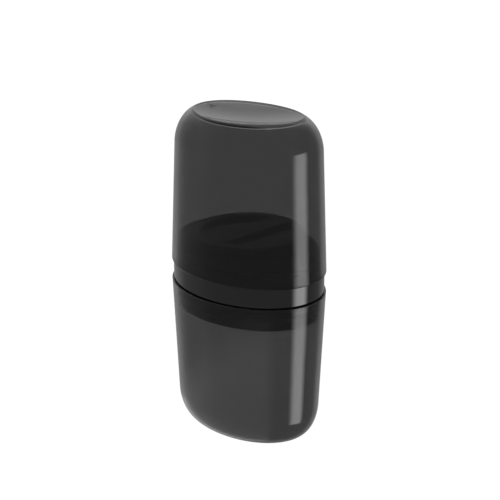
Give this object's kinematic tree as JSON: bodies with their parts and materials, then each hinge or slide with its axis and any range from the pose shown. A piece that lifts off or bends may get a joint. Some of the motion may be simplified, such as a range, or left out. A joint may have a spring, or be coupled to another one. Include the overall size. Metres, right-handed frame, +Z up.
{
  "type": "pill crusher",
  "caption": "Oval capsule pill crusher: two smoked clear cups over a black core with a screw press, a toothed steel presser and an anvil in a round well.",
  "frame": {"origin": "centre of the face that the capsule stands on", "axes": "+Z up along the capsule and the press axis, X along the oval's long axis, Y along its short axis"},
  "size_m": [0.052, 0.0396, 0.0977],
  "materials": {
    "smoked_clear": "clear smoke-tinted moulded plastic, polished",
    "black_gloss": "polished black moulded plastic",
    "black_matte": "fine matte black moulded plastic",
    "silicone_black": "smooth black silicone",
    "steel": "turned stainless steel",
    "zinc_screw": "zinc-plated steel",
    "washer_white": "natural acetal",
    "brass": "turned brass"
  },
  "bodies": {
    "lower_cup": {"lower_cup": "smoked_clear"},
    "core": {"body_housing": "black_gloss", "upper_seal": "silicone_black", "lower_seal": "silicone_black", "floor_plate": "black_gloss", "floor_screws": "zinc_screw", "crush_well": "black_matte", "anvil_plate": "steel"},
    "upper_cup": {"upper_cup": "smoked_clear"},
    "presser": {"presser_plate": "steel"},
    "knob": {"thrust_washer": "washer_white", "shoulder_screw": "steel", "press_screw": "black_matte", "threaded_insert": "brass", "knob_cap": "black_gloss", "knob_seal": "silicone_black"}
  },
  "joints": [
    {"name": "core_lift", "type": "slide", "parent": "lower_cup", "child": "core", "axis": [0, 0, 1], "range_m": [0, 0.025]},
    {"name": "upper_cup_lift", "type": "slide", "parent": "core", "child": "upper_cup", "axis": [0, 0, 1], "range_m": [0, 0.04]},
    {"name": "press_travel", "type": "slide", "parent": "core", "child": "presser", "axis": [0, 0, 1], "range_m": [0, 0.0135]},
    {"name": "knob_turn", "type": "hinge", "parent": "presser", "child": "knob", "pos_m": [0, 0, 0.0516], "axis": [0, 0, 1], "range_deg": [0, 303.75]}
  ],
  "couplings": [
    {"joint": "press_travel", "follows": "knob_turn", "m_per_rad": 0.0025465}
  ]
}
